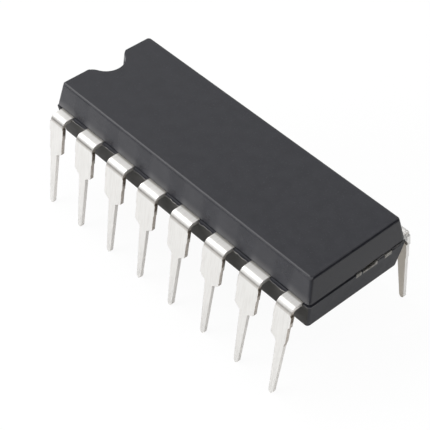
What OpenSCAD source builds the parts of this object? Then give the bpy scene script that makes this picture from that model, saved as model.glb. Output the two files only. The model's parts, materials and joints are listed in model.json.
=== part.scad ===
// Sixteen-pin dual in-line integrated circuit: a moulded body over a stamped lead frame,
// with the chip and its bond wires sealed inside. Millimetres, +Z up, standing on its lead tips.
// +X runs along the body from the notched end, the near row (leads 1 to 8) is on the -Y side.

/* [Lead frame] */
// Distance between neighbouring leads of a row
pitch = 2.54; // [2.4:0.02:2.7]
// Thickness of the lead frame sheet
sheet_t = 0.22; // [0.2:0.01:0.3]
// Width of a lead where it leaves the body and over its shoulder
shoulder_w = 1.35; // [1.1:0.05:1.6]
// Width of the shoulder's outer half on the four leads at the ends of the rows
end_half_w = 0.33; // [0.3:0.01:0.5]
// Width of the thin leg just under the shoulder
leg_w = 0.54; // [0.4:0.01:0.6]
// Width of the thin leg where its rounded tip starts
tip_w = 0.3; // [0.2:0.01:0.4]
// Length of the rounded tip
tip_l = 0.22; // [0.1:0.01:0.4]

/* [Lead shape] */
// Straight run of a lead from the body to its bend
strap_run = 0.36; // [0.2:0.01:0.6]
// Radius of the bend on its outer side
bend_r = 0.38; // [0.34:0.01:0.6]
// Angle by which each row splays outwards
splay = 8; // [0:1:12]
// Height from the lead tips to the parting plane of the body
stand_h = 5.76; // [5.2:0.02:6.6]
// Drop from the parting plane to the end of the straight shoulder
shoulder_drop = 2.06; // [1.8:0.02:2.5]
// Height over which the shoulder narrows to the leg
shoulder_fade = 0.34; // [0.2:0.02:0.6]

/* [Cut stubs of the dam bar] */
// Drop from the parting plane to the top of the stubs
stub_drop = 0.42; // [0.36:0.02:0.6]
// Height of the stubs
stub_h = 0.74; // [0.5:0.02:0.9]
// How far they stand out from the shoulders between the leads
stub_proud = 0.04; // [0.02:0.01:0.06]
// How far they stand out from the outer sides of the four end leads
end_stub_proud = 0.08; // [0.04:0.01:0.12]

/* [Body] */
// Width of the body's lower half at the parting plane
body_w = 6.62; // [6.2:0.02:7]
// Body left beyond the middle of the last lead of a row
body_end = 0.79; // [0.7:0.01:1]
// Thickness of the upper half
upper_h = 1.5; // [1.44:0.02:1.9]
// Thickness of the lower half
lower_h = 1.78; // [1.5:0.02:2]
// Lean of the upper half's long walls, in degrees
upper_draft = 11.5; // [4:0.5:14]
// Lean of the upper half's end walls, in degrees
end_draft = 9.5; // [4:0.5:14]
// Lean of the lower half's walls, in degrees
lower_draft = 8; // [4:1:12]
// Radius of the body's upright corners
corner_r = 0.17; // [0.1:0.01:0.3]
// Rounding of the edge round the top and round the underside
edge_r = 0.13; // [0.05:0.01:0.2]
// How far the lower half stands out past the upper half at the parting plane, on average
ledge = 0.04; // [0.03:0.01:0.08]
// How far the upper half sits off the lower half, towards the notched end and the far row
half_shift = 0.03; // [0:0.01:0.03]
// Height of the fine crevice along the parting plane, and its depth behind the upper half
crevice = 0.08; // [0.04:0.01:0.1]

/* [Notch and mould marks] */
// Radius of the round notch in the end beside leads 1 and 16
notch_r = 1; // [0.6:0.05:1.2]
// Rounding of the two lips of the notch
notch_lip_r = 0.7; // [0.2:0.05:0.8]
// Depth of the notch below the top face
notch_depth = 1.3; // [0.8:0.05:1.35]
// Diameter of the ejector pin marks on the underside
ejector_d = 1.6; // [1:0.1:2.4]
// Depth of the ejector pin marks
ejector_depth = 0.06; // [0.03:0.01:0.12]
// Distance of each ejector pin mark from the middle of the underside
ejector_x = 6; // [5:0.1:7]

/* [Torn recess in each end wall] */
// Depth of the recess over the broken edge of the tie bar
tear_depth = 0.14; // [0.05:0.01:0.2]
// Drop from the parting plane to its floor
tear_floor = 0.1; // [0.06:0.01:0.15]
// Rise from the parting plane to its top
tear_top = 0.09; // [0.06:0.01:0.15]

/* [Die paddle] */
// Length of the paddle that carries the chip
paddle_l = 4.6; // [4:0.1:5]
// Width of the paddle
paddle_w = 2.8; // [2.6:0.1:3]
// Drop of the paddle below the leads
paddle_drop = 0.2; // [0.1:0.01:0.3]
// Clear gap between the paddle and the inner ends of the leads
paddle_gap = 0.35; // [0.25:0.01:0.4]
// Width of the bar that ties the paddle to each end of the frame
tie_w = 0.5; // [0.3:0.02:0.56]
// Length of the fork where that bar meets the end wall
fork_l = 0.8; // [0.6:0.05:0.8]

/* [Leads inside the body] */
// Depth of the wide anchor of each lead inside the body
anchor_l = 0.56; // [0.4:0.02:0.6]
// Diameter of the locking hole in the anchor, filled by the moulding
lock_hole_d = 0.3; // [0.2:0.02:0.34]
// Width of a lead where it leaves its anchor
root_w = 0.42; // [0.35:0.01:0.5]
// Width of a lead's inner end
finger_w = 0.35; // [0.25:0.01:0.38]
// Spacing of the inner ends at each end of the paddle
finger_pitch = 0.55; // [0.5:0.01:0.6]
// Spacing of the inner ends along each side of the paddle
side_pitch = 1.2; // [1:0.05:1.4]

/* [Chip] */
// Length of the chip
die_l = 2.7; // [2:0.1:3.6]
// Width of the chip
die_w = 1.9; // [1.4:0.1:2.2]
// Thickness of the chip
die_t = 0.3; // [0.2:0.01:0.4]
// Thickness of the adhesive under the chip
attach_t = 0.04; // [0.02:0.01:0.06]
// Margin of adhesive squeezed out round the chip
attach_margin = 0.08; // [0.04:0.01:0.15]
// Diameter of the bond wires
wire_d = 0.03; // [0.03:0.005:0.05]
// Rise of each wire's loop above the chip
wire_loop = 0.32; // [0.2:0.02:0.5]

/* [Hidden] */

row_count = 8;
half_count = row_count / 2;
body_l = (row_count - 1) * pitch + 2 * body_end;
top_z = stand_h + upper_h;
under_z = stand_h - lower_h;
paddle_z = stand_h - paddle_drop;
die_z = paddle_z + attach_t;
wall_y = body_w / 2;
bend_n = 10;
fade_n = 6;
tip_n = 8;
skin = 0.001;

// Two digits for a lead's number.
function pad2(n) = str(n < 10 ? "0" : "", n);
function lead_x(j) = (j - (row_count + 1) / 2) * pitch;
function lerp(a, b, t) = a + (b - a) * t;
function unit(v) = v / norm(v);

// Half widths of a lead's shoulder on its outer and inner side; the first of a row is cut narrow.
function outer_half(j) = j == 1 ? end_half_w : shoulder_w / 2;
function inner_half(j) = shoulder_w / 2;

// Side profile of a lead outside the body, as [distance outwards, drop from the parting plane].
bend_u = wall_y + strap_run;
bend_angles = [for (i = [0:bend_n]) (90 - splay) * i / bend_n];
function arc_point(r, a) = [bend_u + r * sin(a), -bend_r + r * cos(a)];
leg_end = arc_point(bend_r, 90 - splay);
function leg_u(drop, inset) =
  leg_end[0] + (leg_end[1] + drop) * tan(splay) - inset / cos(splay);
side_profile = concat(
  [[bend_u - sheet_t, 0]],
  [for (a = bend_angles) arc_point(bend_r, a)],
  [[leg_u(stand_h, 0), -stand_h], [leg_u(stand_h, sheet_t), -stand_h]],
  [for (i = [bend_n:-1:0]) arc_point(bend_r - sheet_t, bend_angles[i])],
  [[bend_u - sheet_t, -sheet_t]]
);

// One edge of a lead seen from the front, as [half width, drop], from the shoulder to the tip.
stub_slope = 0.04;
function smooth(t) = t * t * (3 - 2 * t);
function edge_points(half, proud) = concat(
  [[half, 1], [half, -stub_drop], [half + proud, -stub_drop - stub_slope],
    [half + proud, -stub_drop - stub_h + stub_slope], [half, -stub_drop - stub_h]],
  [for (i = [0:fade_n]) let (t = i / fade_n)
    [lerp(half, leg_w / 2, smooth(t)), -shoulder_drop - t * shoulder_fade]],
  [for (i = [0:tip_n - 1]) let (a = 90 * i / tip_n)
    [tip_w / 2 * cos(a), -stand_h + tip_l * (1 - sin(a))]],
  [[0, -stand_h]]
);
function mirrored(points) = [for (i = [len(points) - 2:-1:0]) [-points[i][0], points[i][1]]];

// Outline of a strip of changing width along a path.
function heading(path, i) = unit(path[min(i + 1, len(path) - 1)] - path[max(i - 1, 0)]);
function side_step(path, i) = let (h = heading(path, i)) [-h[1], h[0]];
function ribbon(path, widths) = concat(
  [for (i = [0:len(path) - 1]) path[i] + side_step(path, i) * widths[i] / 2],
  [for (i = [len(path) - 1:-1:0]) path[i] - side_step(path, i) * widths[i] / 2]
);

// Plan of a finger: from the anchor, over a knee, to its inner end beside the paddle.
anchor_y = -wall_y + anchor_l;
end_tip_x = -paddle_l / 2 - paddle_gap;
side_tip_y = -paddle_w / 2 - paddle_gap;
function finger_tip(j) =
  j <= 2 ? [end_tip_x, -tie_w / 2 - finger_w - (j - 1) * finger_pitch]
  : [-(half_count - j + 0.5) * side_pitch, side_tip_y];
finger_runs = [2.9, 1.6, 0.3, 0.3];
function finger_knee(j) =
  finger_tip(j) + (j <= 2 ? [-finger_runs[j - 1], 0] : [0, -finger_runs[j - 1]]);
function anchor_x(j) = lead_x(j) + (inner_half(j) - outer_half(j)) / 2;
elbow_run = 0.12;
function finger_path(j) = [
  [anchor_x(j), anchor_y - elbow_run],
  [anchor_x(j), anchor_y + elbow_run],
  finger_knee(j),
  finger_tip(j)
];
finger_widths = [root_w, root_w, finger_w, finger_w];

module inner_lead(j) {
  translate([0, 0, stand_h - sheet_t])
    linear_extrude(sheet_t)
      difference() {
        union() {
          translate([lead_x(j) - outer_half(j), -bend_u])
            square([outer_half(j) + inner_half(j), bend_u + anchor_y]);
          polygon(ribbon(finger_path(j), finger_widths));
        }
        translate([anchor_x(j), anchor_y - anchor_l / 2])
          circle(d = lock_hole_d, $fn = 24);
      }
}

module outer_lead(j) {
  translate([lead_x(j), 0, stand_h])
    intersection() {
      rotate([90, 0, -90])
        translate([0, 0, -shoulder_w])
          linear_extrude(2 * shoulder_w)
            polygon(side_profile);
      rotate([90, 0, 0])
        linear_extrude(4 * wall_y)
          polygon(concat(
            mirrored(edge_points(outer_half(j), j == 1 ? end_stub_proud : stub_proud)),
            edge_points(inner_half(j), stub_proud)
          ));
    }
}

// Lead j of the left half of the near row.
module quarter_lead(j) {
  union() {
    inner_lead(j);
    outer_lead(j);
  }
}

// Leads 1 to 8 run along the near row and 9 to 16 back along the far row.
module place_by_number(n) {
  j = n <= row_count ? n : 2 * row_count + 1 - n;
  mirror([0, n > row_count ? 1 : 0, 0])
    mirror([j > half_count ? 1 : 0, 0, 0])
      children();
}
function quarter(n) =
  let (j = n <= row_count ? n : 2 * row_count + 1 - n) j > half_count ? row_count + 1 - j : j;

module lead(n) {
  color([0.88, 0.87, 0.85])
    place_by_number(n) quarter_lead(quarter(n));
}

// Paddle and tie bars, drawn in plan and in side profile; both ends fork to three cut prongs.
fork_x = body_l / 2 - fork_l;
tie_prongs = [[-0.17, 0.17], [0.3, 1.26], [1.78, 2.27]];
slope_run = 0.35;
module tie_bar_plan() {
  translate([0, -tie_w / 2]) square([fork_x + fork_l / 2, tie_w]);
  translate([fork_x, -tie_w / 2]) square([fork_l / 2, tie_prongs[2][1] + tie_w / 2]);
  for (p = tie_prongs)
    translate([fork_x, p[0]]) square([fork_l, p[1] - p[0]]);
}
module paddle_plan() {
  translate([-paddle_l / 2, -paddle_w / 2]) square([paddle_l, paddle_w]);
  for (s = [0, 1]) mirror([s, 0]) tie_bar_plan();
}
jog_x = paddle_l / 2 + paddle_gap;
paddle_top = [
  [-body_l, 0], [-jog_x - slope_run, 0], [-jog_x, -paddle_drop],
  [jog_x, -paddle_drop], [jog_x + slope_run, 0], [body_l, 0]
];
paddle_profile = concat(
  paddle_top,
  [for (i = [len(paddle_top) - 1:-1:0]) paddle_top[i] - [0, sheet_t]]
);
module paddle_solid() {
  difference() {
    intersection() {
      translate([0, 0, under_z]) linear_extrude(lower_h + upper_h) paddle_plan();
      translate([0, body_w / 2, stand_h])
        rotate([90, 0, 0]) linear_extrude(body_w) polygon(paddle_profile);
    }
    tear_outs();
  }
}
// Where the tie bar was torn off: a shallow hollow over its middle prong, in wall and metal.
tear_outline = [
  [tie_prongs[1][0], -tear_floor], [tie_prongs[1][0] + 0.03, tear_top * 0.3],
  [lerp(tie_prongs[1][0], tie_prongs[1][1], 0.4), tear_top * 0.8],
  [tie_prongs[1][1] - 0.06, tear_top], [tie_prongs[1][1], tear_top * 0.2],
  [tie_prongs[1][1] - 0.22, -tear_floor]
];
module tear_outs() {
  for (s = [0, 1]) mirror([s, 0])
    translate([body_l / 2 - tear_depth, 0, stand_h])
      rotate([90, 0, 90]) linear_extrude(2 * tear_depth) polygon(tear_outline);
}
module die_paddle() {
  color([0.72, 0.45, 0.3]) paddle_solid();
}

module die_attach() {
  color([0.75, 0.75, 0.77])
    translate([-die_l / 2 - attach_margin, -die_w / 2 - attach_margin, paddle_z])
      cube([die_l + 2 * attach_margin, die_w + 2 * attach_margin, attach_t]);
}

module die() {
  color([0.35, 0.37, 0.42])
    translate([-die_l / 2, -die_w / 2, die_z]) cube([die_l, die_w, die_t]);
}

// Bond wires: a loop that leaves the chip and lands on a finger square to both.
wire_rings = 9;
wire_sides = 6;
pad_inset = 0.15;
function wire_start(j) = let (t = finger_tip(j))
  j <= 2 ? [-die_l / 2 + pad_inset, t[1] * die_w / paddle_w, die_z + die_t]
  : [t[0] * die_l / paddle_l, -die_w / 2 + pad_inset, die_z + die_t];
function wire_end(j) = let (t = finger_tip(j), d = unit(finger_knee(j) - t) * 0.3)
  [t[0] + d[0], t[1] + d[1], stand_h];
function bezier(p, t) = p[0] * pow(1 - t, 3) + p[1] * 3 * t * pow(1 - t, 2)
  + p[2] * 3 * t * t * (1 - t) + p[3] * pow(t, 3);
function wire_curve(j) = let (a = wire_start(j), b = wire_end(j))
  [a, a + [0, 0, wire_loop * 1.6], b + [0, 0, wire_loop], b];
function wire_ring(p, i) =
  let (
    t = i / (wire_rings - 1),
    e = 0.01,
    flat = i == 0 || i == wire_rings - 1,
    h = i == wire_rings - 1 ? [0, 0, -1] : flat ? [0, 0, 1] : unit(bezier(p, t + e) - bezier(p, t - e)),
    run = p[3] - p[0],
    across = unit([-run[1], run[0], 0]),
    up = cross(h, across)
  )
  [for (k = [0:wire_sides - 1]) let (a = 360 * k / wire_sides)
    bezier(p, t) + (across * cos(a) + up * sin(a)) * wire_d / 2];
module quarter_wire(j) {
  p = wire_curve(j);
  last = (wire_rings - 1) * wire_sides;
  polyhedron(
    points = [for (i = [0:wire_rings - 1]) each wire_ring(p, i)],
    faces = concat(
      [[for (k = [0:wire_sides - 1]) k]],
      [for (i = [0:wire_rings - 2]) for (k = [0:wire_sides - 1])
        let (a = i * wire_sides + k, b = i * wire_sides + (k + 1) % wire_sides)
        [a, a + wire_sides, b + wire_sides, b]],
      [[for (k = [wire_sides - 1:-1:0]) last + k]]
    )
  );
}
module bond_wire(n) {
  color([0.9, 0.75, 0.3])
    place_by_number(n) quarter_wire(quarter(n));
}

// Plan of the body with its rounded corners, pulled in by inset, given along X and along Y.
module body_plan(inset) {
  offset(r = corner_r, $fn = 32)
    square([body_l, body_w] - 2 * (inset + [corner_r, corner_r]), center = true);
}
module body_slice(z, inset) {
  translate([0, 0, z]) linear_extrude(skin) body_plan(inset);
}

// Half of the body: leaning walls from the parting plane to a flat face with a rounded edge.
module body_half(h, end_lean, side_lean, first_inset) {
  rise = h - edge_r;
  foot = first_inset * [1, 1];
  top = foot + rise * [tan(end_lean), tan(side_lean)];
  hull() {
    body_slice(0, foot);
    for (a = [0:30:90])
      body_slice(rise + edge_r * sin(a) - skin, top + edge_r * (1 - cos(a)) * [1, 1]);
  }
}

// The notch's plan: a round bite whose two lips are rounded off against the end wall.
module notch_plan() {
  lip_y = sqrt(pow(notch_r + notch_lip_r, 2) - pow(notch_lip_r, 2));
  touch_y = lip_y * notch_r / (notch_r + notch_lip_r);
  circle(r = notch_r, $fn = 64);
  for (s = [0, 1]) mirror([0, s])
    difference() {
      translate([-notch_r, 0]) square([notch_r + notch_lip_r, lip_y]);
      translate([notch_lip_r, lip_y]) circle(r = notch_lip_r, $fn = 32);
      square([notch_r, touch_y]);
    }
}
// The notch leans with the end wall, so its lips keep their shape down to the level floor.
notch_x = -body_l / 2 + ledge + upper_h * tan(end_draft) - half_shift;
module notch() {
  intersection() {
    translate([notch_x, half_shift, top_z])
      rotate([0, end_draft, 0])
        translate([0, 0, -2 * notch_depth]) linear_extrude(3 * notch_depth) notch_plan();
    translate([-body_l, -body_w / 2, top_z - notch_depth]) cube([body_l, body_w, upper_h]);
  }
}

module ejector_mark(x) {
  translate([x, 0, under_z - 1]) cylinder(d = ejector_d, h = 1 + ejector_depth, $fn = 48);
}

module body_shell() {
  translate([-half_shift, half_shift, stand_h + crevice / 2])
    body_half(upper_h - crevice / 2, end_draft, upper_draft, ledge);
  translate([0, 0, stand_h - crevice / 2]) mirror([0, 0, 1])
    body_half(lower_h - crevice / 2, lower_draft, lower_draft, 0);
  neck = 2 * (ledge + crevice);
  translate([-(body_l - neck) / 2, -(body_w - neck) / 2, stand_h - 3 * crevice])
    cube([body_l - neck, body_w - neck, 6 * crevice]);
}

module moulded_body() {
  color([0.2, 0.2, 0.21])
    difference() {
      body_shell();
      notch();
      for (s = [-1, 1]) ejector_mark(s * ejector_x);
      for (n = [1:2 * row_count]) place_by_number(n) quarter_lead(quarter(n));
      paddle_solid();
      tear_outs();
      die_attach();
      die();
      for (n = [1:2 * row_count]) place_by_number(n) quarter_wire(quarter(n));
    }
}

moulded_body();
die_paddle();
die_attach();
die();
for (n = [1:16]) {
  lead(n);
  bond_wire(n);
}
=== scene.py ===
# %% [markdown]
# A dual in-line chip is a block of matt black moulding with two rows of bright, bent metal legs.
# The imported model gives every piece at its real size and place. This lesson leaves those places
# alone and adds what the eye reads as real: soft edges, moulded grain, satin plating and bare
# brown metal where the sheet was cut.

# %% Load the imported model
import json
import math

import bmesh
import bpy
from mathutils import Matrix, Vector, noise as raw_noise

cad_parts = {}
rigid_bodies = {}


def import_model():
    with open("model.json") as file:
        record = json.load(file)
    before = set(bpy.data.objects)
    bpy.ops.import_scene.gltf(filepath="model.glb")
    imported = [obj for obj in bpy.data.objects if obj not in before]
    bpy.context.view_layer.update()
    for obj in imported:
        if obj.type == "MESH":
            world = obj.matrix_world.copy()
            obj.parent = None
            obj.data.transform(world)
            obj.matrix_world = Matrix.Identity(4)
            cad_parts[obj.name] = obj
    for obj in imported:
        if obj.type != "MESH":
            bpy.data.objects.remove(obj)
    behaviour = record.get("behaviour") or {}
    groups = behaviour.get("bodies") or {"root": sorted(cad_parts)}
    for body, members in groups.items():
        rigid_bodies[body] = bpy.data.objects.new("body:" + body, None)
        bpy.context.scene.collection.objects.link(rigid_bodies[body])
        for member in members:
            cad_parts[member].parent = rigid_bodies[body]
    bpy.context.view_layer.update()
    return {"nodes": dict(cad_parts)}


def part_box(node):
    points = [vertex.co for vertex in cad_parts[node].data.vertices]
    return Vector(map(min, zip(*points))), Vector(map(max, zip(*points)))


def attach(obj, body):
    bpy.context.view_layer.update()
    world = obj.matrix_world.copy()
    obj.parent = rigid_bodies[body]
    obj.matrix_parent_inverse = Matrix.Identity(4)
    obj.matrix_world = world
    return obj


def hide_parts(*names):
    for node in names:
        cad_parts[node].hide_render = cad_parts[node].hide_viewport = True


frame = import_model()
NODES = frame["nodes"]
MM = 0.001
BODY_LOW, BODY_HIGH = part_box("moulded_body")
PARTING_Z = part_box("lead_01")[1].z
LEADS = sorted(name for name in NODES if name.startswith("lead_"))
WIRES = sorted(name for name in NODES if name.startswith("bond_wire_"))
print("body", [round(v / MM, 2) for v in BODY_HIGH - BODY_LOW], "mm")
print("parting plane", round(PARTING_Z / MM, 3), "mm")

# %% [markdown]
# The camera comes first, because every later choice is judged through it. The photograph looks
# down on the plain end from the near right, with a fairly long lens. The place and the lens were
# worked out from the chip's own 2.54 mm lead pitch, so the perspective is the photograph's.

# %% Camera
CAMERA_AZIMUTH = 48.08
CAMERA_ELEVATION = 44.95
CAMERA_ROLL = 0.29
CAMERA_PLACE = Vector((37.43, -33.90, 47.13)) * MM + Vector((0, 0, PARTING_Z))
PICTURE_SIDE = 430
FOCAL_PIXELS = 1352.4
PICTURE_CENTRE = (218.1, 214.4)
SENSOR_WIDTH = 36.0


def back_vector(azimuth, elevation):
    a, e = math.radians(azimuth), math.radians(elevation)
    return Vector((math.sin(a) * math.cos(e), -math.cos(a) * math.cos(e), math.sin(e)))


def make_camera():
    data = bpy.data.cameras.new("camera")
    data.sensor_width = SENSOR_WIDTH
    data.lens = FOCAL_PIXELS / PICTURE_SIDE * SENSOR_WIDTH
    data.shift_x = (PICTURE_SIDE / 2 - PICTURE_CENTRE[0]) / PICTURE_SIDE
    data.shift_y = (PICTURE_CENTRE[1] - PICTURE_SIDE / 2) / PICTURE_SIDE
    data.clip_start, data.clip_end = 0.001, 10.0
    camera = bpy.data.objects.new("camera", data)
    bpy.context.scene.collection.objects.link(camera)
    back = back_vector(CAMERA_AZIMUTH, CAMERA_ELEVATION)
    turn = (-back).to_track_quat("-Z", "Y").to_matrix()
    roll = Matrix.Rotation(math.radians(CAMERA_ROLL), 3, "Z")
    camera.matrix_world = Matrix.Translation(CAMERA_PLACE) @ (turn @ roll).to_4x4()
    bpy.context.scene.camera = camera
    print("lens", round(data.lens, 1), "mm, shift", round(data.shift_x, 4), round(data.shift_y, 4))


make_camera()

# %% [markdown]
# Materials are node trees, and the same few steps come up in each one. Trees could be drawn by
# hand and appended from a file, but a script has to stand alone. These helpers add a node with
# its settings, join two sockets, fade, multiply and mix, so that the trees below read as lists of
# what the surface shows.


# %% Node helpers
def add_node(tree, kind, inputs=None, **settings):
    node = tree.nodes.new(kind)
    for name, value in settings.items():
        setattr(node, name, value)
    for name, value in (inputs or {}).items():
        node.inputs[name].default_value = value
    return node


def join(tree, source, target):
    tree.links.new(source, target)


def new_material(name, **shader_values):
    material = bpy.data.materials.new(name)
    material.use_nodes = True
    tree = material.node_tree
    shader = tree.nodes["Principled BSDF"]
    for socket, value in shader_values.items():
        shader.inputs[socket.replace("_", " ")].default_value = value
    place = add_node(tree, "ShaderNodeTexCoord")
    return material, tree, shader, place


def stretched(tree, place, scale):
    mapping = add_node(tree, "ShaderNodeMapping", {"Scale": scale})
    join(tree, place.outputs["Object"], mapping.inputs["Vector"])
    return mapping.outputs["Vector"]


def noise(tree, vector, scale, detail=3.0, roughness=0.5):
    node = add_node(
        tree, "ShaderNodeTexNoise", {"Scale": scale, "Detail": detail, "Roughness": roughness}
    )
    join(tree, vector, node.inputs["Vector"])
    return node.outputs["Fac"]


def ramp(tree, value, low, high, start=0.0, end=1.0):
    """Goes smoothly from start to end while the value goes from low to high."""
    node = add_node(
        tree,
        "ShaderNodeMapRange",
        {"From Min": low, "From Max": high, "To Min": start, "To Max": end},
        interpolation_type="SMOOTHSTEP",
    )
    join(tree, value, node.inputs["Value"])
    return node.outputs["Result"]


def mix_colour(tree, amount, colour_a, colour_b):
    node = add_node(tree, "ShaderNodeMix", data_type="RGBA")
    for socket, value in (("A_Color", colour_a), ("B_Color", colour_b)):
        target = next(s for s in node.inputs if s.identifier == socket)
        if isinstance(value, tuple):
            target.default_value = (*value, 1.0)
        else:
            join(tree, value, target)
    join(tree, amount, next(s for s in node.inputs if s.identifier == "Factor_Float"))
    return next(s for s in node.outputs if s.identifier == "Result_Color")


def calc(tree, a, b, operation="MULTIPLY"):
    """Multiplies two values, or does the named sum with them."""
    node = add_node(tree, "ShaderNodeMath", operation=operation)
    for socket, value in zip(node.inputs, (a, b)):
        if isinstance(value, float):
            socket.default_value = value
        else:
            join(tree, value, socket)
    return node.outputs["Value"]


def bump(tree, shader, height, strength, distance):
    node = add_node(tree, "ShaderNodeBump", {"Strength": strength, "Distance": distance})
    join(tree, height, node.inputs["Height"])
    join(tree, node.outputs["Normal"], shader.inputs["Normal"])


# %% [markdown]
# The long upper walls carry painted light: a painted reflection of the straps, lightest just above
# each strap, over a faint painted lightening of the whole wall. A painted mask could show that,
# but the straps repeat at the lead pitch, so a ping-pong of the place along the body gives the
# distance to the nearest strap and fades the painted light from there.

# %% Painted reflection of the straps
LEAD_PITCH = 2.54 * MM
STRAP_HALF = 0.76 * MM
# painted light on the long upper walls: the straps' reflection and a faint lightening
STRAP_LIGHT_FOOT, STRAP_LIGHT_TOP = PARTING_Z + 0.05 * MM, PARTING_Z + 0.55 * MM
STRAP_LIGHT_INNER, STRAP_LIGHT_OUTER = STRAP_HALF - 0.25 * MM, STRAP_HALF + 0.15 * MM
STRAP_LIGHT_STRONG, STRAP_LIGHT_FAINT = 0.85, 0.12


def attribute(tree, name):
    return add_node(tree, "ShaderNodeAttribute", attribute_name=name).outputs["Fac"]


def painted_strap_light(tree, place):
    """Painted light, strongest on the long walls just above a strap, fading up and between straps.
    """
    spot = add_node(tree, "ShaderNodeSeparateXYZ")
    join(tree, place.outputs["Object"], spot.inputs["Vector"])
    above = ramp(tree, spot.outputs["Z"], STRAP_LIGHT_FOOT, STRAP_LIGHT_TOP, STRAP_LIGHT_STRONG, STRAP_LIGHT_FAINT)
    from_gap = calc(tree, spot.outputs["X"], LEAD_PITCH, "PINGPONG")
    from_strap = calc(tree, from_gap, LEAD_PITCH / 2, "SUBTRACT")
    from_strap = calc(tree, from_strap, 0.0, "ABSOLUTE")
    over = ramp(tree, from_strap, STRAP_LIGHT_INNER, STRAP_LIGHT_OUTER, 1.0, STRAP_LIGHT_FAINT)
    return calc(tree, calc(tree, above, over), attribute(tree, "long_wall"))


print("a scuff fades out", round((STRAP_LIGHT_TOP - PARTING_Z) / MM, 2), "mm above its strap")

# %% [markdown]
# The moulding compound is epoxy packed with ground silica. Seen close it is charcoal rather than
# black, with a very fine salt of filler grains and faint clouding where the compound flowed. The
# upper walls slide out of a polished mould and are smoother than the top, so they mirror the
# leads a little, and the lower walls are duller. The long upper edges get a painted highlight.
# The upper end walls get painted shade, and the lower long walls a warm painted reflection of
# the leads. The rounded edges are rubbed smooth, and the crevice at the parting plane and the
# recesses at the ends are painted dark as shade. Where a fin of compound was torn off, the break
# is pale. Separate materials could give the same looks, but one material that reads numbers off
# the mesh is easier to tune. Those numbers are attributes of the faces, written when a piece is
# finished.

# %% Moulding compound
COMPOUND_DARK = (0.0105, 0.011, 0.0155)
COMPOUND_LIGHT = (0.0175, 0.018, 0.023)
COMPOUND_GRAIN = (0.070, 0.070, 0.080)
# painted shade on the upper end walls
COMPOUND_END_SHADE = (0.004, 0.004, 0.008)
# painted reflection of the leads on the lower long walls
COMPOUND_LEAD_REFLECTION = (0.034, 0.031, 0.024)
# painted shade in the crevice and the end recesses
CREVICE_SHADE = (0.006, 0.006, 0.007)
COMPOUND_TORN = (0.30, 0.29, 0.27)
# colour of the painted light: the straps' reflection and the highlight on the long top edges
COMPOUND_PAINTED_LIGHT = (0.080, 0.079, 0.082)
GRAIN_SCALE, CLOUD_SCALE, PATCH_SCALE = 14000.0, 1400.0, 4000.0
GRAIN_AMOUNT = 0.35
COMPOUND_ROUGH = (0.46, 0.54)
ROUGHER = {"wall": -0.30, "lower": 0.08, "rounded": -0.32, "crevice": 0.4}


def moulding_compound():
    material, tree, shader, place = new_material(
        "moulding_compound", Roughness=0.5, Specular_IOR_Level=0.36
    )
    grains = noise(tree, place.outputs["Object"], GRAIN_SCALE, 2.0, 0.6)
    clouds = noise(tree, place.outputs["Object"], CLOUD_SCALE, 4.0, 0.6)
    base = mix_colour(tree, ramp(tree, clouds, 0.3, 0.7), COMPOUND_DARK, COMPOUND_LIGHT)
    salt = ramp(tree, grains, 0.6, 0.78, 0.0, GRAIN_AMOUNT)
    colour = mix_colour(tree, salt, base, COMPOUND_GRAIN)
    # painted light: the straps' reflection on the long upper walls
    colour = mix_colour(tree, painted_strap_light(tree, place), colour, COMPOUND_PAINTED_LIGHT)
    for name, tint in (
        # painted highlight on the long top edges
        ("worn_edge", COMPOUND_PAINTED_LIGHT),
        # painted shade on the upper end walls
        ("end_wall", COMPOUND_END_SHADE),
        # painted reflection of the leads on the lower long walls
        ("under_lead", COMPOUND_LEAD_REFLECTION),
        # painted shade in the crevice and the end recesses
        ("crevice", CREVICE_SHADE),
    ):
        colour = mix_colour(tree, attribute(tree, name), colour, tint)
    patches = noise(tree, place.outputs["Object"], PATCH_SCALE, 2.0)
    patches = ramp(tree, patches, 0.42, 0.6, 0.35, 1.0)
    torn = calc(tree, attribute(tree, "torn"), patches)
    colour = mix_colour(tree, torn, colour, COMPOUND_TORN)
    join(tree, colour, shader.inputs["Base Color"])
    rough = ramp(tree, clouds, 0.3, 0.7, *COMPOUND_ROUGH)
    for name, change in ROUGHER.items():
        rough = calc(tree, rough, calc(tree, attribute(tree, name), change), "ADD")
    join(tree, rough, shader.inputs["Roughness"])
    bump(tree, shader, grains, 0.3, 0.01 * MM)
    return material


COMPOUND = moulding_compound()
print("moulding compound:", len(COMPOUND.node_tree.nodes), "nodes")

# %% [markdown]
# Each lead was stamped from copper alloy sheet, plated with tin and bent. Its marks lie in bands
# across it: the brown of the cut sides down to the foot of the shoulder, the dark stub where the
# bar that joined the leads was cut away, and a grey band of painted reflection on the lower part
# of the bend, where it mirrors the dark horizon. Painted masks could place them, but every lead
# has them at the same height, so a band is worked out from two drops from the parting plane.

# %% Bands across a lead
CUT_BAND = (0.20 * MM, 2.42 * MM, 0.06 * MM)
BAR_BAND = (0.34 * MM, 0.86 * MM, 0.08 * MM)
BEND_REFLECTION_BAND = (0.17 * MM, 0.36 * MM, 0.05 * MM)


def band(tree, height, top_drop, foot_drop, soft):
    """One between two drops from the parting plane, zero outside them."""
    top, foot = PARTING_Z - top_drop, PARTING_Z - foot_drop
    rise = ramp(tree, height, foot - soft, foot + soft)
    fall = ramp(tree, height, top - soft, top + soft, 1.0, 0.0)
    return calc(tree, rise, fall)


for top_drop, foot_drop, _ in (CUT_BAND, BAR_BAND, BEND_REFLECTION_BAND):
    print("band", round((foot_drop - top_drop) / MM, 2), "mm high")
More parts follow.
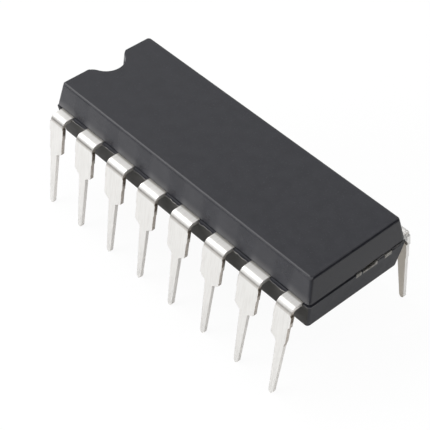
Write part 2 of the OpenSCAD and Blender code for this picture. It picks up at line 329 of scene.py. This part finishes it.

# %% [markdown]
# The plating is satin, with faint streaks along the lead. The cut sides are duller and browner.
# Lead 9 is the odd one, with bright sides and one patch of painted shade beside its shoulder,
# where the gap under its strap lies in shadow. The lower inner faces of the legs get painted
# shade, where they mirror the floor in the chip's shadow. The strap is shaded where it leaves
# the wall, and its sheen comes back little by little over the bend, because a finish that changed
# at one edge would show as a line. The height of a point and its reach from the middle say which
# part of the lead it is on, and attributes say which way its face looks.

# %% Tin plate
TIN = (0.79, 0.78, 0.76)
TIN_DULL = (0.70, 0.685, 0.66)
CUT_LOW = (0.77, 0.75, 0.72)
CUT_METAL = (0.43, 0.385, 0.34)
CUT_DARK = (0.10, 0.075, 0.05)
# painted reflection of the dark horizon on the lower bend
BEND_REFLECTION_GREY = (0.42, 0.39, 0.355)
BEND_REFLECTION_AMOUNT = 0.6
STREAK_SCALE = (16000.0, 900.0, 900.0)
SPOT_SCALE = 9000.0
TIN_ROUGH, SIDE_ROUGHER, STRAP_ROUGHER = (0.31, 0.39), 0.1, 0.34
STRAP_SHADE = (0.34, 0.325, 0.30)
STRAP_FOOT, STRAP_END, BEND_CROWN = 3.30 * MM, 3.50 * MM, 3.92 * MM
SHADE_REACH, SHADE_AMOUNT = 0.10 * MM, 0.8
# painted shade on the lower inner faces of the legs
INNER_SHADE_METAL = (0.49, 0.45, 0.395)
INNER_TOP, INNER_SOFT = 1.0 * MM, 0.1 * MM
# painted shade on lead 9, where the gap under its strap lies in shadow
GAP_SHADE = (0.06, 0.045, 0.03)
GAP_SHADE_PLACE = (9.17 * MM, 3.90 * MM, 4.78 * MM)
GAP_SHADE_CORE, GAP_SHADE_RIM, GAP_SHADE_AMOUNT = 0.11 * MM, 0.17 * MM, 0.92


def tin_plate():
    material, tree, shader, place = new_material("tin_plate", Metallic=1.0, Roughness=0.4)
    streaks = noise(tree, stretched(tree, place, STREAK_SCALE), 1.0, 3.0, 0.55)
    spots = noise(tree, place.outputs["Object"], SPOT_SCALE, 3.0)
    colour = mix_colour(tree, ramp(tree, streaks, 0.4, 0.75, 0.0, 0.6), TIN, TIN_DULL)
    spot = add_node(tree, "ShaderNodeSeparateXYZ")
    join(tree, place.outputs["Object"], spot.inputs["Vector"])
    height = spot.outputs["Z"]
    brown = attribute(tree, "brown")
    patchy = ramp(tree, spots, 0.3, 0.65, 0.5, 1.0)
    colour = mix_colour(tree, brown, colour, CUT_LOW)
    shoulder = calc(tree, brown, band(tree, height, *CUT_BAND))
    colour = mix_colour(tree, calc(tree, shoulder, patchy), colour, CUT_METAL)
    bar = calc(tree, brown, band(tree, height, *BAR_BAND))
    colour = mix_colour(tree, calc(tree, bar, patchy), colour, CUT_DARK)
    top = PARTING_Z - INNER_TOP
    inner = ramp(tree, height, top - INNER_SOFT, top + INNER_SOFT, 1.0, 0.0)
    inner = calc(tree, inner, attribute(tree, "inner"))
    # painted shade on the lower inner faces of the legs
    colour = mix_colour(tree, inner, colour, INNER_SHADE_METAL)
    # painted shade on lead 9 beside its shoulder
    away = add_node(tree, "ShaderNodeVectorMath", operation="DISTANCE")
    away.inputs[1].default_value = GAP_SHADE_PLACE
    join(tree, place.outputs["Object"], away.inputs[0])
    gap_shade = ramp(tree, away.outputs["Value"], GAP_SHADE_CORE, GAP_SHADE_RIM, GAP_SHADE_AMOUNT, 0.0)
    colour = mix_colour(tree, gap_shade, colour, GAP_SHADE)
    # painted reflection: a grey band on the outer faces of the lower bend
    bend_reflection = calc(tree, band(tree, height, *BEND_REFLECTION_BAND), attribute(tree, "outer"))
    colour = mix_colour(tree, calc(tree, bend_reflection, BEND_REFLECTION_AMOUNT), colour, BEND_REFLECTION_GREY)
    reach = calc(tree, spot.outputs["Y"], 0.0, "ABSOLUTE")
    strap = attribute(tree, "strap")
    shade = ramp(tree, reach, STRAP_FOOT, STRAP_FOOT + SHADE_REACH, SHADE_AMOUNT, 0.0)
    colour = mix_colour(tree, calc(tree, strap, shade), colour, STRAP_SHADE)
    join(tree, colour, shader.inputs["Base Color"])
    rough = ramp(tree, streaks, 0.3, 0.75, *TIN_ROUGH)
    rough = calc(tree, rough, calc(tree, attribute(tree, "cut"), SIDE_ROUGHER), "ADD")
    dull = calc(tree, strap, ramp(tree, reach, STRAP_END, BEND_CROWN, STRAP_ROUGHER, 0.0))
    join(tree, calc(tree, rough, dull, "ADD"), shader.inputs["Roughness"])
    bump(tree, shader, streaks, 0.08, 0.004 * MM)
    return material


TIN_PLATE = tin_plate()
print("tin plate:", len(TIN_PLATE.node_tree.nodes), "nodes")

# %% [markdown]
# What lies inside is sealed, and only the cut ends of the paddle's tie bars reach the outside.
# Each inner piece still gets the finish that it has before it is moulded in: dull copper, silver
# adhesive, a polished wafer and drawn gold. The four differ only in colour, grain and polish, so
# one function makes them all.

# %% Inner finishes
COPPER = (0.30, 0.29, 0.27)
COPPER_DULL = (0.16, 0.155, 0.14)
ADHESIVE = (0.55, 0.55, 0.57)
ADHESIVE_DARK = (0.38, 0.38, 0.40)
WAFER = (0.10, 0.11, 0.15)
WAFER_LIGHT = (0.16, 0.17, 0.22)
GOLD = (0.95, 0.70, 0.30)
GOLD_DEEP = (0.80, 0.55, 0.20)


def mottled(name, colours, scale, rough, depth, metal):
    material, tree, shader, place = new_material(name, Metallic=metal)
    spots = noise(tree, place.outputs["Object"], scale, 3.0, 0.55)
    amount = ramp(tree, spots, 0.3, 0.7)
    join(tree, mix_colour(tree, amount, *colours), shader.inputs["Base Color"])
    join(tree, ramp(tree, spots, 0.3, 0.7, *rough), shader.inputs["Roughness"])
    bump(tree, shader, spots, 0.2, depth)
    return material


BARE_COPPER = mottled(
    "bare_copper", (COPPER, COPPER_DULL), scale=5000.0, rough=(0.35, 0.55), depth=5e-6, metal=1.0
)
SILVER_ADHESIVE = mottled(
    "silver_adhesive",
    (ADHESIVE, ADHESIVE_DARK),
    scale=9000.0,
    rough=(0.4, 0.6),
    depth=5e-6,
    metal=0.6,
)
SILICON = mottled(
    "silicon", (WAFER, WAFER_LIGHT), scale=3000.0, rough=(0.08, 0.16), depth=1e-6, metal=0.7
)
GOLD_WIRE = mottled(
    "gold_wire", (GOLD, GOLD_DEEP), scale=20000.0, rough=(0.2, 0.3), depth=1e-6, metal=1.0
)
print("finishes so far:", sorted(material.name for material in bpy.data.materials))

# %% [markdown]
# A CAD mesh arrives as loose flat triangles. For a surface that shines, a copy is merged, its
# flat areas are made whole again, and its sharp edges get a fine bevel, since a pressed or moulded
# edge is never perfectly sharp. The copy then stands in for the CAD node at the same place.


# %% Finishing a copy of a node
MERGE = 2e-8
FLAT_ANGLE = math.radians(0.4)


def merged_copy(node, name):
    mesh = NODES[node].data.copy()
    mesh.name = name
    shape = bmesh.new()
    shape.from_mesh(mesh)
    bmesh.ops.remove_doubles(shape, verts=shape.verts, dist=MERGE)
    bmesh.ops.dissolve_limit(
        shape, angle_limit=FLAT_ANGLE, verts=shape.verts, edges=shape.edges, delimit={"NORMAL"}
    )
    shape.to_mesh(mesh)
    shape.free()
    mesh.materials.clear()
    piece = bpy.data.objects.new(name, mesh)
    bpy.context.scene.collection.objects.link(piece)
    return piece


def settle(piece, material, smooth_angle):
    """Applies the piece's modifiers, with normals that keep its large faces flat."""
    piece.data.shade_smooth()
    piece.data.set_sharp_from_angle(angle=math.radians(smooth_angle))
    normals = piece.modifiers.new("flat_faces", "WEIGHTED_NORMAL")
    normals.mode = "FACE_AREA"
    normals.weight = 100
    normals.keep_sharp = True
    graph = bpy.context.evaluated_depsgraph_get()
    mesh = bpy.data.meshes.new_from_object(piece.evaluated_get(graph))
    piece.modifiers.clear()
    piece.data = mesh
    mesh.materials.clear()
    mesh.materials.append(material)


def write_attributes(piece, **rules):
    """Gives each face a number by each rule, from its normal and its middle, for the material."""
    mesh = piece.data
    for name, rule in rules.items():
        values = [float(rule(face.normal, face.center)) for face in mesh.polygons]
        mesh.attributes.new(name, "FLOAT", "FACE").data.foreach_set("value", values)


# %% [markdown]
# A stamped and plated lead has slightly rolled edges. They could be part of the CAD solid, but
# they are too fine to change how a lead fits, so a bevel makes them here. Limited by angle, it
# softens only the cut edges and leaves the bend alone, and the bend's flat facets are smoothed by
# their normals. The attributes say which faces are cut sides, how brown those are, and which look
# in, out, up or down.

# %% Leads
LEAD_EDGE = 0.022 * MM
LEAD_SHARP = 35
BROWN_SIDES = {"lead_09": 0.0}


def is_side(normal):
    return abs(normal.x) > 0.3 and abs(normal.y) < 0.5


def finish_lead(node):
    piece = merged_copy(node, node + "_plated")
    brown = BROWN_SIDES.get(node, 1.0)
    outward = -1 if NODES[node].data.vertices[0].co.y < 0 else 1
    bevel = piece.modifiers.new("rolled_edges", "BEVEL")
    bevel.width = LEAD_EDGE
    bevel.segments = 2
    bevel.limit_method = "ANGLE"
    bevel.angle_limit = math.radians(LEAD_SHARP)
    settle(piece, TIN_PLATE, LEAD_SHARP)
    write_attributes(
        piece,
        cut=lambda normal, middle: is_side(normal),
        brown=lambda normal, middle: brown * is_side(normal),
        inner=lambda normal, middle: normal.y * outward < -0.5,
        strap=lambda normal, middle: abs(normal.z) > 0.6,
        outer=lambda normal, middle: normal.y * outward > 0 or normal.z > 0,
    )
    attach(piece, "root")
    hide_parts(node)
    return piece


plated = [finish_lead(node) for node in LEADS]
print(len(plated), "leads,", len(plated[1].data.polygons), "faces on lead 2")

# %% [markdown]
# The compound looks different on each part of the body, so every face has to be told apart. A
# face's normal says whether it is a long wall, an end wall or a rounded edge, and the height of
# its middle says whether it belongs to the upper half, the lower half or the crevice between.

# %% Telling the body's faces apart
CREVICE_HALF = 0.0385 * MM
RECESS_HALF = 0.11 * MM
RECESS_DEPTH = 0.02 * MM
RECESS_Y = (0.28 * MM, 1.27 * MM)
# amounts of the painted edge highlight, the painted end wall shade and the painted lead reflection
EDGE_HIGHLIGHT, END_SHADE_AMOUNT, LEAD_REFLECTION_AMOUNT = 0.4, 0.7, 0.6


def is_shaded_hollow(middle):
    """True in the crevice, and in the recess over the tie bar's middle prong at each end: painted
    shade.
    """
    sunk = abs(middle.x) < BODY_HIGH.x - RECESS_DEPTH
    recess = sunk and RECESS_Y[0] < abs(middle.y) < RECESS_Y[1]
    return abs(middle.z - PARTING_Z) < (RECESS_HALF if recess else CREVICE_HALF)


def is_upright(normal):
    return abs(normal.z) < 0.25


def is_long_wall(normal):
    return abs(normal.y) > 0.8


def is_end_wall(normal):
    return abs(normal.x) > 0.8


def is_long_top_edge(normal):
    return abs(normal.y) > 0.2 and 0.3 < normal.z < 0.99


print("the crevice is", round(2 * CREVICE_HALF / MM, 3), "mm high")

# %% [markdown]
# The moulded block keeps its CAD form. Only the rim of the notch is still sharp, and the real one
# is rounded where the mould was polished. A bevel on every sharp edge would also round the
# crevice away, so that rim alone is marked for it.

# %% Body
NOTCH_EDGE = 0.05 * MM
RIM_SHARP = math.radians(50)
TOP_SLACK = 2e-6
BODY_SHARP = 40


def mark_notch_rim(piece):
    shape = bmesh.new()
    shape.from_mesh(piece.data)
    weight = shape.edges.layers.float.new("bevel_weight_edge")
    count = 0
    for edge in shape.edges:
        high = all(v.co.z > BODY_HIGH.z - TOP_SLACK for v in edge.verts)
        if high and len(edge.link_faces) == 2 and edge.calc_face_angle() > RIM_SHARP:
            edge[weight] = 1.0
            count += 1
    shape.to_mesh(piece.data)
    shape.free()
    return count


def finish_body():
    piece = merged_copy("moulded_body", "moulded_body_surface")
    print("notch rim:", mark_notch_rim(piece), "edges")
    bevel = piece.modifiers.new("notch_rim", "BEVEL")
    bevel.width = NOTCH_EDGE
    bevel.segments = 3
    bevel.limit_method = "WEIGHT"
    settle(piece, COMPOUND, BODY_SHARP)
    write_attributes(
        piece,
        wall=lambda normal, middle: is_upright(normal) and middle.z > PARTING_Z,
        lower=lambda normal, middle: is_upright(normal) and middle.z < PARTING_Z,
        # painted highlight on the long top edges
        worn_edge=lambda normal, middle: EDGE_HIGHLIGHT * is_long_top_edge(normal),
        # painted shade on the upper end walls
        end_wall=lambda normal, middle: END_SHADE_AMOUNT
        * (is_end_wall(normal) and middle.z > PARTING_Z),
        # painted reflection of the leads on the lower long walls
        under_lead=lambda normal, middle: LEAD_REFLECTION_AMOUNT
        * (is_long_wall(normal) and middle.z < PARTING_Z),
        long_wall=lambda normal, middle: is_long_wall(normal) and middle.z > PARTING_Z,
        rounded=lambda normal, middle: 0.3 < abs(normal.z) < 0.99,
        # painted shade in the crevice and the end recesses
        crevice=lambda normal, middle: is_shaded_hollow(middle),
    )
    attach(piece, "root")
    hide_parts("moulded_body")
    return piece


body = finish_body()
print("body:", len(body.data.polygons), "faces")

# %% [markdown]
# The paddle, the adhesive, the chip and its wires are sealed in, all but the cut ends of the tie
# bars. A merged and bevelled copy of each would show nothing more, so they stay as CAD nodes and
# only their material changes.

# %% Inner pieces
INNER_FINISHES = {
    "die_paddle": BARE_COPPER,
    "die_attach": SILVER_ADHESIVE,
    "die": SILICON,
    **{wire: GOLD_WIRE for wire in WIRES},
}
for node, material in INNER_FINISHES.items():
    slots = NODES[node].data.materials
    slots.clear()
    slots.append(material)
print("inner pieces:", len(INNER_FINISHES))

# %% [markdown]
# When the mould closes on the lead frame, a little compound creeps out between the leads and
# sets as a thin, ragged fin along the parting plane. There is one in each gap, all alike but for
# their torn edges, so Geometry Nodes make one strip and repeat it. The strip is a grid pulled up
# into a thin plate, and a flipped copy of the grid closes its underside.

# %% One strip of flash
FIN_STATIONS = 28


def fin_strip(tree, given):
    strip = add_node(tree, "GeometryNodeMeshGrid", {"Vertices X": FIN_STATIONS, "Vertices Y": 2})
    join(tree, given.outputs["Length"], strip.inputs["Size X"])
    join(tree, given.outputs["Reach"], strip.inputs["Size Y"])
    thick = add_node(tree, "GeometryNodeExtrudeMesh", {"Individual": False})
    join(tree, strip.outputs["Mesh"], thick.inputs["Mesh"])
    join(tree, given.outputs["Thickness"], thick.inputs["Offset Scale"])
    under = add_node(tree, "GeometryNodeFlipFaces")
    join(tree, strip.outputs["Mesh"], under.inputs["Mesh"])
    whole = add_node(tree, "GeometryNodeJoinGeometry")
    join(tree, under.outputs["Mesh"], whole.inputs["Geometry"])
    join(tree, thick.outputs["Mesh"], whole.inputs["Geometry"])
    closed = add_node(tree, "GeometryNodeMergeByDistance", {"Distance": MERGE})
    join(tree, whole.outputs["Geometry"], closed.inputs["Geometry"])
    return closed.outputs["Geometry"]


# %% [markdown]
# A line of points at the lead pitch carries one strip each. The copies are made real before they
# are torn, because a noise that reads the place would tear all instances alike. Only the outer
# edge moves, and the edge at the wall stays straight.

# %% A torn row of strips
FIN_RAGGED = 3000.0


def fin_row(tree, given, strip):
    line = add_node(tree, "GeometryNodeMeshLine", mode="OFFSET")
    join(tree, given.outputs["Gaps"], line.inputs["Count"])
    step = add_node(tree, "ShaderNodeCombineXYZ")
    join(tree, given.outputs["Pitch"], step.inputs["X"])
    join(tree, step.outputs["Vector"], line.inputs["Offset"])
    copies = add_node(tree, "GeometryNodeInstanceOnPoints")
    join(tree, line.outputs["Mesh"], copies.inputs["Points"])
    join(tree, strip, copies.inputs["Instance"])
    real = add_node(tree, "GeometryNodeRealizeInstances")
    join(tree, copies.outputs["Instances"], real.inputs["Geometry"])
    return real.outputs["Geometry"]


def torn_row(tree, given, row):
    here = add_node(tree, "GeometryNodeInputPosition")
    split = add_node(tree, "ShaderNodeSeparateXYZ")
    join(tree, here.outputs["Position"], split.inputs["Vector"])
    ragged = add_node(tree, "ShaderNodeTexNoise", {"Scale": FIN_RAGGED, "Detail": 3.0})
    join(tree, here.outputs["Position"], ragged.inputs["Vector"])
    outer = calc(tree, split.outputs["Y"], 0.0, "LESS_THAN")
    swing = calc(tree, calc(tree, ragged.outputs["Fac"], 0.5, "SUBTRACT"), 2.0)
    tear = calc(tree, calc(tree, swing, outer), given.outputs["Tear"])
    shift = add_node(tree, "ShaderNodeCombineXYZ")
    join(tree, tear, shift.inputs["Y"])
    torn = add_node(tree, "GeometryNodeSetPosition")
    join(tree, row, torn.inputs["Geometry"])
    join(tree, shift.outputs["Vector"], torn.inputs["Offset"])
    return torn.outputs["Geometry"]


# %% [markdown]
# The row is centred on the near wall, and a copy turned half round lies on the far wall, because
# the package looks the same from there. A mirrored copy would be inside out.

# %% Both rows in their places
def both_rows(tree, given, row):
    span = calc(tree, given.outputs["Gaps"], 1.0, "SUBTRACT")
    start = calc(tree, calc(tree, span, given.outputs["Pitch"]), -0.5)
    home = add_node(tree, "ShaderNodeCombineXYZ")
    join(tree, start, home.inputs["X"])
    join(tree, given.outputs["Wall"], home.inputs["Y"])
    join(tree, given.outputs["Height"], home.inputs["Z"])
    near = add_node(tree, "GeometryNodeTransform")
    join(tree, row, near.inputs["Geometry"])
    join(tree, home.outputs["Vector"], near.inputs["Translation"])
    far = add_node(tree, "GeometryNodeTransform", {"Rotation": (0.0, 0.0, math.pi)})
    join(tree, near.outputs["Geometry"], far.inputs["Geometry"])
    both = add_node(tree, "GeometryNodeJoinGeometry")
    join(tree, near.outputs["Geometry"], both.inputs["Geometry"])
    join(tree, far.outputs["Geometry"], both.inputs["Geometry"])
    return both.outputs["Geometry"]


# %% [markdown]
# The sizes of the fins are named inputs of the tree, so that it could serve a longer package as
# it is. The wall and the height come from the body and the crevice, and the thickness and the
# tear were judged against the photograph.

# %% Flash fins between the leads
FLASH_SHARP = 30
FIN_THICK = 0.045 * MM
FIN_REACH = 0.11 * MM
FIN_ROOT = 0.01 * MM
FIN_DROP = 0.004 * MM
FIN_INPUTS = (
    ("Gaps", "NodeSocketInt", 7),
    ("Pitch", "NodeSocketFloat", LEAD_PITCH),
    ("Length", "NodeSocketFloat", 1.06 * MM),
    ("Reach", "NodeSocketFloat", FIN_REACH),
    ("Thickness", "NodeSocketFloat", FIN_THICK),
    ("Tear", "NodeSocketFloat", 0.09 * MM),
    ("Wall", "NodeSocketFloat", BODY_LOW.y - FIN_REACH / 2 + FIN_ROOT),
    ("Height", "NodeSocketFloat", PARTING_Z - CREVICE_HALF - FIN_THICK - FIN_DROP),
    ("Finish", "NodeSocketMaterial", COMPOUND),
)


def fin_tree():
    tree = bpy.data.node_groups.new("flash_fins", "GeometryNodeTree")
    tree.interface.new_socket("Geometry", in_out="OUTPUT", socket_type="NodeSocketGeometry")
    names = {}
    for name, kind, _ in FIN_INPUTS:
        socket = tree.interface.new_socket(name, in_out="INPUT", socket_type=kind)
        names[name] = socket.identifier
    given = tree.nodes.new("NodeGroupInput")
    result = tree.nodes.new("NodeGroupOutput")
    row = torn_row(tree, given, fin_row(tree, given, fin_strip(tree, given)))
    solid = add_node(tree, "GeometryNodeRealizeInstances")
    join(tree, both_rows(tree, given, row), solid.inputs["Geometry"])
    finish = add_node(tree, "GeometryNodeSetMaterial")
    join(tree, solid.outputs["Geometry"], finish.inputs["Geometry"])
    join(tree, given.outputs["Finish"], finish.inputs["Material"])
    join(tree, finish.outputs["Geometry"], result.inputs["Geometry"])
    return tree, names


def make_fins():
    tree, names = fin_tree()
    piece = bpy.data.objects.new("flash_fins", bpy.data.meshes.new("flash_fins"))
    bpy.context.scene.collection.objects.link(piece)
    modifier = piece.modifiers.new("fins", "NODES")
    modifier.node_group = tree
    for name, _, value in FIN_INPUTS:
        modifier[names[name]] = value
    settle(piece, COMPOUND, FLASH_SHARP)
    write_attributes(piece, torn=lambda normal, middle: abs(normal.z) < 0.5)
    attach(piece, "root")
    return piece


fins = make_fins()
print("flash fins:", len(fins.data.polygons), "faces")

# %% [markdown]
# At the plain end the flash is left in crumbs. Some fill the crevice between the tie bars and the
# far corner, and one runs round the near corner from the last lead. No two are alike, so Geometry
# Nodes would save nothing here. A crumb follows a path in plan, straight along the end wall or
# round the corner, and the path is walked in short steps that know which way is outward.

# %% Paths of the crumbs
CRUMB_STEP = 0.03 * MM
CORNER_R = 0.17 * MM
END_X = BODY_HIGH.x


def corner_path(start_x, end_y):
    """Round the near corner of the plain end, from the long wall to the end wall."""
    centre = Vector((END_X - CORNER_R, BODY_LOW.y + CORNER_R))
    turns = [math.radians(a) for a in range(-90, 1, 10)]
    arc = [centre + Vector((math.cos(a), math.sin(a))) * CORNER_R for a in turns]
    return [Vector((start_x, BODY_LOW.y))] + arc + [Vector((END_X, end_y))]


def end_path(low_y, high_y):
    return [Vector((END_X, low_y)), Vector((END_X, high_y))]


def crumb_stations(path):
    stations = []
    for a, b in zip(path, path[1:]):
        along = (b - a).normalized()
        steps = max(1, round((b - a).length / CRUMB_STEP))
        for i in range(steps):
            stations.append((a.lerp(b, i / steps), Vector((along.y, -along.x))))
    stations.append((path[-1], stations[-1][1]))
    return stations


# %% [markdown]
# At each step a crumb has one ring of four corners, and a noise that reads the place tears the
# outer two. Skinning the rings gives a closed strip. The near corner's crumb and the tops of the
# others get a painted highlight, paler than the rest, as in the photograph.

# %% Flash crumbs at the plain end
CRUMB_ROOT = 0.12 * MM
CRUMB_TEAR = 0.02 * MM
CRUMB_RAGGED = 9000.0
CORNER_START_X, CORNER_END_Y = 9.31 * MM, -2.75 * MM
CREVICE_RUNS = ((1.275 * MM, 1.765 * MM), (2.285 * MM, 3.12 * MM))
CREVICE_FILL = (PARTING_Z - 0.036 * MM, PARTING_Z + 0.036 * MM)
LEDGE_FILL = (PARTING_Z - CREVICE_HALF - 0.035 * MM, PARTING_Z - CREVICE_HALF - 0.002 * MM)
CREVICE_REACH, LEDGE_REACH = -0.015 * MM, 0.012 * MM
# the first is the painted highlight on the corner crumb and crumb tops, the second the pale break
CRUMB_HIGHLIGHT, DARK_CRUMB = 0.4, 0.12


def add_crumb(shape, path, low, high, reach):
    rings = []
    for point, outward in crumb_stations(path):
        swing = raw_noise.noise(Vector((point.x, point.y, low)) * CRUMB_RAGGED)
        outer = point + outward * (reach + CRUMB_TEAR * swing)
        inner = point - outward * CRUMB_ROOT
        corners = ((inner, low), (outer, low), (outer, high), (inner, high))
        rings.append([shape.verts.new((p.x, p.y, z)) for p, z in corners])
    for a, b in zip(rings, rings[1:]):
        for i in range(4):
            j = (i + 1) % 4
            shape.faces.new((a[i], b[i], b[j], a[j]))
    shape.faces.new(rings[0])
    shape.faces.new(rings[-1][::-1])


def crumb_highlight(normal, middle):
    """A painted highlight on the near corner's crumb and on the tops of the ones in the crevice.
    """
    return CRUMB_HIGHLIGHT if middle.y < 0.0 or normal.z > 0.5 else DARK_CRUMB


def make_crumbs():
    mesh = bpy.data.meshes.new("flash_crumbs")
    shape = bmesh.new()
    for run in CREVICE_RUNS:
        add_crumb(shape, end_path(*run), *CREVICE_FILL, CREVICE_REACH)
    corner = corner_path(CORNER_START_X, CORNER_END_Y)
    add_crumb(shape, corner, *LEDGE_FILL, LEDGE_REACH)
    bmesh.ops.recalc_face_normals(shape, faces=shape.faces)
    shape.to_mesh(mesh)
    shape.free()
    piece = bpy.data.objects.new("flash_crumbs", mesh)
    bpy.context.scene.collection.objects.link(piece)
    settle(piece, COMPOUND, FLASH_SHARP)
    write_attributes(piece, torn=crumb_highlight)
    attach(piece, "root")
    return piece


crumbs = make_crumbs()
print("flash crumbs:", len(crumbs.data.polygons), "faces")

# %% [markdown]
# The studio is plain: a white floor and a white surround. Plain paper would come out grey and
# plain glow would lose the chip's shadow, so to the camera the floor is a little paper and a lot
# of glow. In the plating it shows as lit paper, so the tin also mirrors the chip's own shadow, as
# it does on a table.

# %% Floor and surround
FLOOR_SIDE = 0.6
FLOOR_SHOWN, FLOOR_GLOW = 0.07, 0.93
PAPER_MIRRORED, GLOW_MIRRORED = 0.85, 0.15
FLOOR_BOUNCE = 0.35
WORLD_LIGHT = 0.60


def ray_kinds(tree):
    """One for the camera's own rays, and one for mirror and glass rays."""
    rays = add_node(tree, "ShaderNodeLightPath")
    mirror = calc(
        tree, rays.outputs["Is Glossy Ray"], rays.outputs["Is Transmission Ray"], "MAXIMUM"
    )
    return rays.outputs["Is Camera Ray"], mirror


def make_floor():
    mesh = bpy.data.meshes.new("floor")
    half = FLOOR_SIDE / 2
    corners = [(-half, -half, 0), (half, -half, 0), (half, half, 0), (-half, half, 0)]
    mesh.from_pydata(corners, [], [(0, 1, 2, 3)])
    floor = bpy.data.objects.new("floor", mesh)
    bpy.context.scene.collection.objects.link(floor)
    material, tree, shader, _ = new_material("floor", Roughness=1.0, Specular_IOR_Level=0.0)
    direct, mirror = ray_kinds(tree)
    paper = mix_colour(tree, mirror, (FLOOR_BOUNCE,) * 3, (PAPER_MIRRORED,) * 3)
    paper = mix_colour(tree, direct, paper, (FLOOR_SHOWN,) * 3)
    join(tree, paper, shader.inputs["Base Color"])
    shader.inputs["Emission Color"].default_value = (1.0, 1.0, 1.0, 1.0)
    glow = calc(
        tree, calc(tree, direct, FLOOR_GLOW), calc(tree, mirror, GLOW_MIRRORED), "ADD"
    )
    join(tree, glow, shader.inputs["Emission Strength"])
    mesh.materials.append(material)


def make_world():
    world = bpy.data.worlds.new("surround")
    bpy.context.scene.world = world
    world.use_nodes = True
    tree = world.node_tree
    background = tree.nodes["Background"]
    background.inputs["Color"].default_value = (1.0, 1.0, 1.0, 1.0)
    direct, mirror = ray_kinds(tree)
    seen = calc(tree, direct, mirror, "MAXIMUM")
    strength = ramp(tree, seen, 0.0, 1.0, WORLD_LIGHT, 1.0)
    join(tree, strength, background.inputs["Strength"])


make_floor()
make_world()
print("floor", FLOOR_SIDE, "m square")

# %% [markdown]
# Soft lamps stand mostly to the camera's left, because the photograph's near wall is lighter than
# its end wall. A low grey fence stands round the chip and one grey card behind it. Only mirror
# rays meet them, and they draw the darker line along each bend and along the plain end's top
# edge. Darker lamps would darken the compound as well, which the photograph doesn't show.

# %% Screens and lamps
SCREENS = (
    # name, azimuths, foot, top, distance, grey
    ("fence", range(0, 361, 10), 0.0, 0.011, 0.036, 0.22),
    ("card", range(95, 156, 10), 0.04, 0.33, 0.27, 0.08),
)
LAMPS = (
    # name, azimuth, elevation, distance, size, watts, seen by mirror rays
    ("high_softbox", -80.0, 52.0, 0.30, 0.22, 0.32, True),
    ("left_fill", -30.0, 11.0, 0.30, 0.20, 1.20, False),
    ("back_fill", 100.0, 35.0, 0.30, 0.20, 0.10, False),
)


def make_screen(name, azimuths, low, high, distance, grey):
    """A strip of grey card round the chip, between two heights, met by mirror rays only."""
    mesh = bpy.data.meshes.new(name)
    ring = [back_vector(azimuth, 0.0) * distance for azimuth in azimuths]
    points = [(p.x, p.y, height) for height in (low, high) for p in ring]
    count = len(ring)
    mesh.from_pydata(points, [], [(i, i + 1, count + i + 1, count + i) for i in range(count - 1)])
    screen = bpy.data.objects.new(name, mesh)
    bpy.context.scene.collection.objects.link(screen)
    material, tree, shader, _ = new_material(name, Roughness=1.0, Specular_IOR_Level=0.0)
    shader.inputs["Base Color"].default_value = (0.0, 0.0, 0.0, 1.0)
    shader.inputs["Emission Color"].default_value = (grey, grey, grey, 1.0)
    shader.inputs["Emission Strength"].default_value = 1.0
    mesh.materials.append(material)
    screen.visible_camera = screen.visible_diffuse = screen.visible_shadow = False


def make_lamp(name, azimuth, elevation, distance, size, watts, mirrored):
    data = bpy.data.lights.new(name, "AREA")
    data.shape = "SQUARE"
    data.size = size
    data.energy = watts
    lamp = bpy.data.objects.new(name, data)
    bpy.context.scene.collection.objects.link(lamp)
    back = back_vector(azimuth, elevation)
    lamp.location = back * distance
    lamp.rotation_mode = "QUATERNION"
    lamp.rotation_quaternion = (-back).to_track_quat("-Z", "Y")
    lamp.visible_glossy = mirrored


for screen_values in SCREENS:
    make_screen(*screen_values)
for lamp_values in LAMPS:
    make_lamp(*lamp_values)
bpy.context.scene.view_settings.view_transform = "Standard"
print(len(SCREENS), "screens,", len(LAMPS), "lamps")
